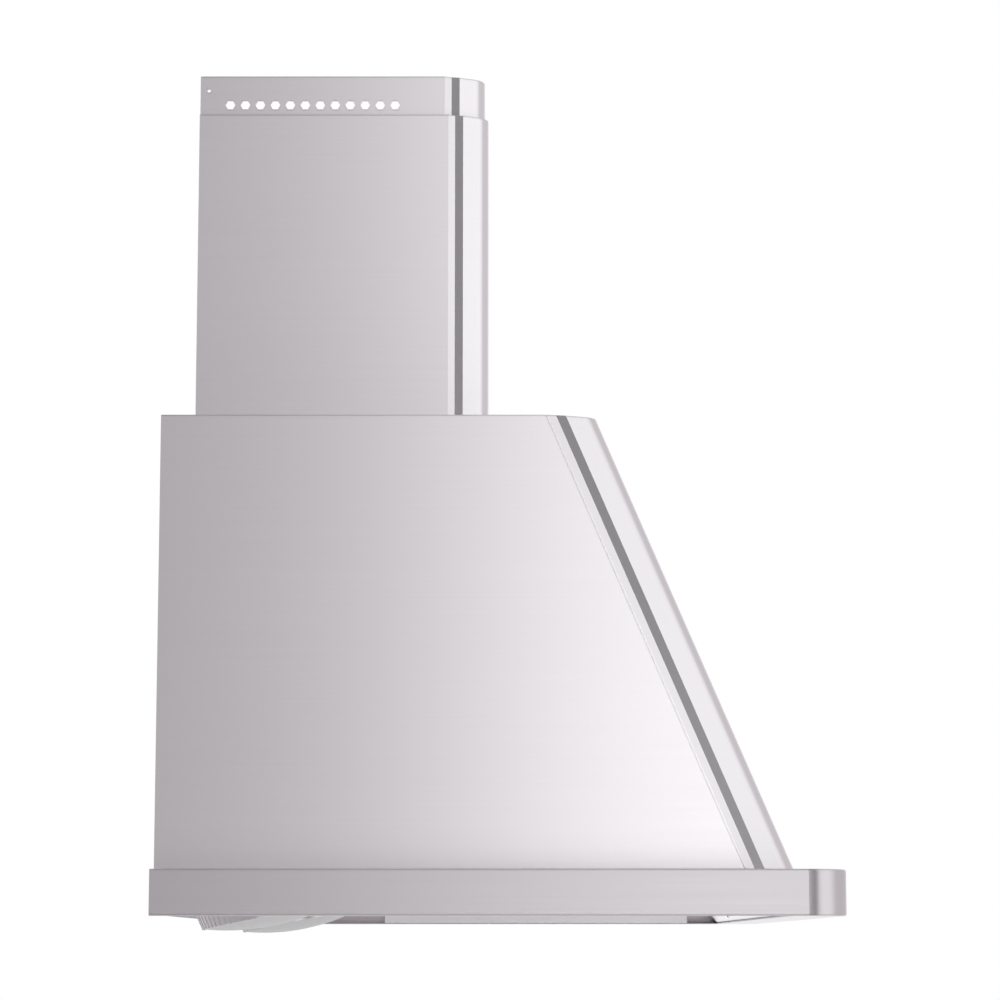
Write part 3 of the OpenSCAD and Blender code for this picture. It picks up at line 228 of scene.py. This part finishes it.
def brushed_steel(name, colour, roughness):
    """Steel with fine scratches, level on upright faces and along X on level ones."""
    material, tree, shader = start_material(name)
    direction, lies = brushing_direction(tree)
    tree.links.new(direction, shader.inputs["Tangent"])
    upright_lines = stretched_noise(tree, (ALONG, ALONG, SCRATCHES_PER_M))
    level_lines = stretched_noise(tree, (ALONG, SCRATCHES_PER_M, ALONG))
    mix = tree.nodes.new("ShaderNodeMix")
    tree.links.new(lies, mix.inputs[0])
    tree.links.new(upright_lines, mix.inputs[2])
    tree.links.new(level_lines, mix.inputs[3])
    lines = mix.outputs[0]
    streaks = stretched_noise(tree, STREAKS_PER_M, STREAK_DETAIL)
    both = tree.nodes.new("ShaderNodeMix")
    both.inputs[0].default_value = STREAK_SHARE
    tree.links.new(lines, both.inputs[2])
    tree.links.new(streaks, both.inputs[3])
    dark = [channel * (1 - SCRATCH_CONTRAST) for channel in colour]
    light = [channel * (1 + SCRATCH_CONTRAST) for channel in colour]
    tree.links.new(tint(tree, both.outputs[0], dark, light), shader.inputs["Base Color"])
    gloss = spread(tree, lines, roughness - GLOSS_CHANGE, roughness + GLOSS_CHANGE)
    tree.links.new(gloss, shader.inputs["Roughness"])
    bump = relief(tree, shader, lines, SCRATCH_HEIGHT, SCRATCH_STRENGTH)
    tree.links.new(folded_normal(tree), bump.inputs["Normal"])
    shader.inputs["Metallic"].default_value = 1.0
    shader.inputs["Anisotropic"].default_value = ANISOTROPY
    shader.inputs["Anisotropic Rotation"].default_value = QUARTER_TURN
    return material


finishes = {
    "canopy_steel": brushed_steel("canopy_steel", (0.77, 0.75, 0.767), 0.36),
    "chimney_steel": brushed_steel("chimney_steel", (0.8, 0.78, 0.797), 0.36),
    "rim_steel": brushed_steel("rim_steel", (0.685, 0.653, 0.675), 0.44),
    "filter_steel": brushed_steel("filter_steel", (0.62, 0.615, 0.62), 0.34),
    "spring_steel": brushed_steel("spring_steel", (0.5, 0.5, 0.52), 0.3),
    "button_steel": brushed_steel("button_steel", (0.7, 0.69, 0.7), 0.3),
}
print("brushed finishes:", sorted(finishes))

# %% [markdown]
# Polished and galvanised metal share a shader with the brushed one but not its scratches. Polished
# wire and chrome show only faint wipe marks in their gloss. Zinc has spangles, which a cellular noise
# gives, and a dull bloom.

# %% Smooth, galvanised and cast metals
WEAR = 0.04
CLOUDS_PER_M = 60
SPANGLES_PER_M = 170.0
SPANGLE_DARKEST = 0.84
SPANGLE_GLOSS = 0.08
SPANGLE_HEIGHT = 0.00003   # metres


def smooth_metal(name, colour, roughness):
    """Metal with faint cloudy wear in its colour and its gloss."""
    material, tree, shader = start_material(name)
    clouds = stretched_noise(tree, (CLOUDS_PER_M, CLOUDS_PER_M, CLOUDS_PER_M))
    dark = [channel * (1 - WEAR) for channel in colour]
    tree.links.new(tint(tree, clouds, dark, colour), shader.inputs["Base Color"])
    gloss = spread(tree, clouds, roughness - WEAR, roughness + WEAR)
    tree.links.new(gloss, shader.inputs["Roughness"])
    shader.inputs["Metallic"].default_value = 1.0
    return material


def galvanised_steel(name, colour, roughness):
    """Zinc spangles: each cell of a Voronoi pattern has its own brightness and gloss."""
    material, tree, shader = start_material(name)
    where = add(tree, "ShaderNodeTexCoord")
    cells = add(tree, "ShaderNodeTexVoronoi", Scale=SPANGLES_PER_M)
    grey = add(tree, "ShaderNodeRGBToBW")
    tree.links.new(where.outputs["Object"], cells.inputs["Vector"])
    tree.links.new(cells.outputs["Color"], grey.inputs["Color"])
    dark = [channel * SPANGLE_DARKEST for channel in colour]
    tree.links.new(tint(tree, grey.outputs[0], dark, colour), shader.inputs["Base Color"])
    gloss = spread(tree, grey.outputs[0], roughness - SPANGLE_GLOSS, roughness + SPANGLE_GLOSS)
    tree.links.new(gloss, shader.inputs["Roughness"])
    relief(tree, shader, grey.outputs[0], SPANGLE_HEIGHT, 0.4)
    shader.inputs["Metallic"].default_value = 1.0
    return material


finishes["bright_steel"] = smooth_metal("bright_steel", (0.78, 0.78, 0.79), 0.14)
finishes["screw_zinc"] = smooth_metal("screw_zinc", (0.66, 0.66, 0.67), 0.28)
finishes["wheel_steel"] = smooth_metal("wheel_steel", (0.6, 0.61, 0.62), 0.34)
finishes["collar_steel"] = smooth_metal("collar_steel", (0.66, 0.64, 0.655), 0.3)
finishes["galvanised"] = galvanised_steel("galvanised", (0.56, 0.58, 0.59), 0.42)
print("metals:", len(finishes))

# %% [markdown]
# Paint, moulded plastic and porcelain aren't metals: light enters them a little way and comes back in
# their own colour, under a clear gloss. A fine noise roughens plastic as its mould does, and paint has
# the slow waves of orange peel.

# %% Paint, plastic, porcelain and glass
GRAIN_DARKEST = 0.88
GRAIN_DETAIL = 4.0


def coated(name, colour, roughness, grain, height):
    """A non-metal with a fine grain of that many cells a metre, raised by height metres."""
    material, tree, shader = start_material(name)
    cells = stretched_noise(tree, (grain, grain, grain), GRAIN_DETAIL)
    dark = [channel * GRAIN_DARKEST for channel in colour]
    tree.links.new(tint(tree, cells, dark, colour), shader.inputs["Base Color"])
    gloss = spread(tree, cells, roughness - GLOSS_CHANGE, roughness + GLOSS_CHANGE)
    tree.links.new(gloss, shader.inputs["Roughness"])
    relief(tree, shader, cells, height, 0.5)
    return material


finishes["motor_paint"] = coated("motor_paint", (0.045, 0.045, 0.05), 0.35, 500, 0.00002)
finishes["box_paint"] = coated("box_paint", (0.42, 0.42, 0.43), 0.45, 500, 0.00002)
finishes["pad_plastic"] = coated("pad_plastic", (0.82, 0.82, 0.8), 0.4, 900, 0.00001)
finishes["housing_plastic"] = coated("housing_plastic", (0.72, 0.72, 0.7), 0.5, 1500, 0.00002)
finishes["gland_plastic"] = coated("gland_plastic", (0.03, 0.03, 0.03), 0.5, 1500, 0.00002)
finishes["ceramic"] = coated("ceramic", (0.88, 0.86, 0.8), 0.16, 120, 0.00001)
finishes["board"] = coated("board", (0.03, 0.2, 0.09), 0.3, 900, 0.00001)


ETCHED_GRAIN = 700         # cells a metre
ETCHED_HEIGHT = 0.000004   # metres
LIGHT_DEPTH = 0.002        # metres that light enters the glass


def frosted(name, colour, roughness, coat):
    """Frosted plastic or glass with a fine etched grain under a clear coat of that weight."""
    material = coated(name, colour, roughness, ETCHED_GRAIN, ETCHED_HEIGHT)
    shader = material.node_tree.nodes["Principled BSDF"]
    shader.inputs["Subsurface Weight"].default_value = 0.3
    shader.inputs["Subsurface Radius"].default_value = (LIGHT_DEPTH, LIGHT_DEPTH, LIGHT_DEPTH)
    shader.inputs["Coat Weight"].default_value = coat
    return material


finishes["lens_plastic"] = frosted("lens_plastic", (0.93, 0.92, 0.88), 0.35, 0.4)
# The bulb glass is greyer than frosted glass is: that grey is painted shade on the lamp faces under the
# hood.
finishes["bulb_glass"] = frosted("bulb_glass", (0.6, 0.585, 0.595), 0.55, 0.05)
print("finishes:", len(finishes))

# %% [markdown]
# The record names a material slot for every node, and each slot has its finish above. Five pieces
# inside the hood get a smooth, unbrushed steel instead, whose lighter colour is painted light for their
# shaded faces.

# %% Dress every CAD node in the finish of its slot
PAINTED_LIGHT_PARTS = ("side_ledge_left", "side_ledge_right", "lamp_rail", "lamp_shelf", "centre_bar")
# The lighter colour of this smooth steel is painted light: it brightens pieces that lie in shade inside
# the hood.
finishes["inner_steel"] = smooth_metal("inner_steel", (0.84, 0.815, 0.835), 0.3)
for part in frame["record"]["subparts"]:
    slot = "inner_steel" if part["node"] in PAINTED_LIGHT_PARTS else part["material_slot"]
    mesh = nodes[part["node"]].data
    mesh.materials.clear()
    mesh.materials.append(finishes[slot])

# %% [markdown]
# The studio is a pale floor well below the hood and a sky of soft panels. What steel looks like is
# what it reflects, so the sky is drawn by direction, as a photographer sets up boards and soft boxes:
# grey behind the viewer, one narrow bright panel beside it, a dark gap, a broad bright panel towards
# the front, and a calm grey round the rest. The walls between the panels have a faint violet tint,
# which shows in the darker steel.

# %% Sky by compass angle
# Compass angle in degrees and brightness there
SKY = [
    (-180, 1.15), (-150, 1.1), (-115, 0.7), (-60, 0.58), (-25, 0.54), (-5, 0.48), (-1.5, 0.62),
    (2.5, 1.8), (11.5, 1.85), (16, 0.2), (30.5, 0.12), (35, 1.28), (76, 1.25), (90, 0.78), (145, 0.74),
    (160, 1.1), (180, 1.15),
]
PANEL_LEVEL = 0.8               # what is brighter is a panel, what is darker is wall
WALL_TINT = (1, 0.96, 0.988)
PANEL_TINT = (1, 1, 1)


def sky_ramp(tree, angle):
    """Brightness by compass angle: 0 is behind the viewer, 90 towards the hood's front."""
    turn = spread(tree, angle, 0.0, 1.0)
    span = turn.node
    span.inputs["From Min"].default_value = -math.pi
    span.inputs["From Max"].default_value = math.pi
    ramp = tree.nodes.new("ShaderNodeValToRGB")
    stops = ramp.color_ramp.elements
    brightest = max(level for _, level in SKY)
    for index, (degrees, level) in enumerate(SKY):
        place = (degrees + 180) / 360
        stop = stops[index] if index < 2 else stops.new(place)
        stop.position = place
        grey = level / brightest
        shade = WALL_TINT if level < PANEL_LEVEL else PANEL_TINT
        stop.color = (*(grey * channel for channel in shade), 1)
    tree.links.new(turn, ramp.inputs[0])
    return ramp.outputs[0], brightest


print("sky stops:", len(SKY))

# %% [markdown]
# The sky is darker straight up and straight down, which draws a thin line along every bend of the
# sheet. Only metal reflects it: the viewer sees plain white behind the hood, and everything that isn't
# a mirror is lit by plain white light, so that colours render as they are written.

# %% World
DARK_CEILING = 0.3              # share of the brightness that is left straight up and down
DIM_FROM = math.radians(45)     # steepness where the dimming starts and where it ends
DIM_TO = math.radians(72)
PLAIN_STRENGTH = 0.85


def build_world():
    """White for the camera, soft panels for what metal reflects, plain light for the rest."""
    world = bpy.data.worlds.new("studio")
    world.use_nodes = True
    scene.world = world
    tree = world.node_tree
    plain = tree.nodes["Background"]
    plain.inputs["Color"].default_value = (1, 1, 1, 1)
    plain.inputs["Strength"].default_value = PLAIN_STRENGTH
    where = add(tree, "ShaderNodeTexCoord")
    parts = add(tree, "ShaderNodeSeparateXYZ")
    tree.links.new(where.outputs["Generated"], parts.inputs[0])
    turned = []
    for axis in "YX":
        minus = tree.nodes.new("ShaderNodeMath")
        minus.operation = "MULTIPLY"
        minus.inputs[1].default_value = -1
        tree.links.new(parts.outputs[axis], minus.inputs[0])
        turned.append(minus.outputs[0])
    angle = tree.nodes.new("ShaderNodeMath")
    angle.operation = "ARCTAN2"
    tree.links.new(turned[0], angle.inputs[0])
    tree.links.new(turned[1], angle.inputs[1])
    colour, strength = sky_ramp(tree, angle.outputs[0])
    steep = tree.nodes.new("ShaderNodeMath")
    steep.operation = "ABSOLUTE"
    tree.links.new(parts.outputs["Z"], steep.inputs[0])
    dim = spread(tree, steep.outputs[0], strength, DARK_CEILING * strength)
    dim.node.inputs["From Min"].default_value = math.sin(DIM_FROM)
    dim.node.inputs["From Max"].default_value = math.sin(DIM_TO)
    panels = add(tree, "ShaderNodeBackground")
    tree.links.new(colour, panels.inputs["Color"])
    tree.links.new(dim, panels.inputs["Strength"])
    white = add(tree, "ShaderNodeBackground", Color=(1, 1, 1, 1), Strength=1.0)
    ray = add(tree, "ShaderNodeLightPath")
    shine = tree.nodes.new("ShaderNodeMixShader")
    tree.links.new(ray.outputs["Is Glossy Ray"], shine.inputs[0])
    tree.links.new(plain.outputs[0], shine.inputs[1])
    tree.links.new(panels.outputs[0], shine.inputs[2])
    seen = tree.nodes.new("ShaderNodeMixShader")
    tree.links.new(ray.outputs["Is Camera Ray"], seen.inputs[0])
    tree.links.new(shine.outputs[0], seen.inputs[1])
    tree.links.new(white.outputs[0], seen.inputs[2])
    tree.links.new(seen.outputs[0], tree.nodes["World Output"].inputs["Surface"])


build_world()
print("world:", scene.world.name)

# %% [markdown]
# The floor is one flat disc, far enough below the hood to leave its underside open to the light. Its
# underside is clear, so that a view from below isn't blocked, and steel doesn't mirror it.

# %% Floor
FLOOR_BELOW_RIM = 0.65
FLOOR_RADIUS = 9.0
FLOOR_SIDES = 96
FLOOR_DARK = (0.92, 0.92, 0.92)
FLOOR_LIGHT = (0.94, 0.94, 0.94)
FLOOR_CLOUDS_PER_M = 30
FLOOR_ROUGHNESS = 0.7


def disc(name, radius, height, sides):
    """A flat disc: the ring of points (r cos t, r sin t) and one face."""
    turn = np.linspace(0, 2 * np.pi, sides, endpoint=False)
    ring = np.column_stack([radius * np.cos(turn), radius * np.sin(turn), np.full(sides, height)])
    mesh = bpy.data.meshes.new(name)
    mesh.from_pydata(ring.tolist(), [], [list(range(sides))])
    piece = bpy.data.objects.new(name, mesh)
    scene.collection.objects.link(piece)
    return piece


floor = disc("floor", FLOOR_RADIUS, rim_low.z - FLOOR_BELOW_RIM, FLOOR_SIDES)
floor_finish, floor_tree, floor_shader = start_material("floor_paint")
floor_grain = stretched_noise(floor_tree, (FLOOR_CLOUDS_PER_M,) * 3)
floor_colour = tint(floor_tree, floor_grain, FLOOR_DARK, FLOOR_LIGHT)
floor_tree.links.new(floor_colour, floor_shader.inputs["Base Color"])
floor_shader.inputs["Roughness"].default_value = FLOOR_ROUGHNESS
face = add(floor_tree, "ShaderNodeNewGeometry")
clear = add(floor_tree, "ShaderNodeBsdfTransparent")
one_sided = floor_tree.nodes.new("ShaderNodeMixShader")
floor_tree.links.new(face.outputs["Backfacing"], one_sided.inputs[0])
floor_tree.links.new(floor_shader.outputs[0], one_sided.inputs[1])
floor_tree.links.new(clear.outputs[0], one_sided.inputs[2])
floor_tree.links.new(one_sided.outputs[0], floor_tree.nodes["Material Output"].inputs["Surface"])
floor.data.materials.append(floor_finish)
floor.visible_glossy = False
print("floor at", round(rim_low.z - FLOOR_BELOW_RIM, 3), "m")

# %% [markdown]
# One large soft lamp hangs above and in front of the near side. It models the round pieces and lays a
# faint shadow. The steel doesn't mirror it, because the sky's panels already do that work.

# %% Soft lamp
LAMP_SIZE = 2.4                 # metres
LAMP_POWER = 45                 # watts
LAMP_PLACE = (-1.6, -2.6, 2.6)
LAMP_TURN = (math.radians(42), 0, math.radians(-32))

lamp_data = bpy.data.lights.new("soft_lamp", "AREA")
lamp_data.shape = "DISK"
lamp_data.size = LAMP_SIZE
lamp_data.energy = LAMP_POWER
lamp = bpy.data.objects.new("soft_lamp", lamp_data)
lamp.location = LAMP_PLACE
lamp.rotation_euler = LAMP_TURN
lamp.visible_glossy = False
scene.collection.objects.link(lamp)
print("lamp of", LAMP_POWER, "W at", LAMP_PLACE)
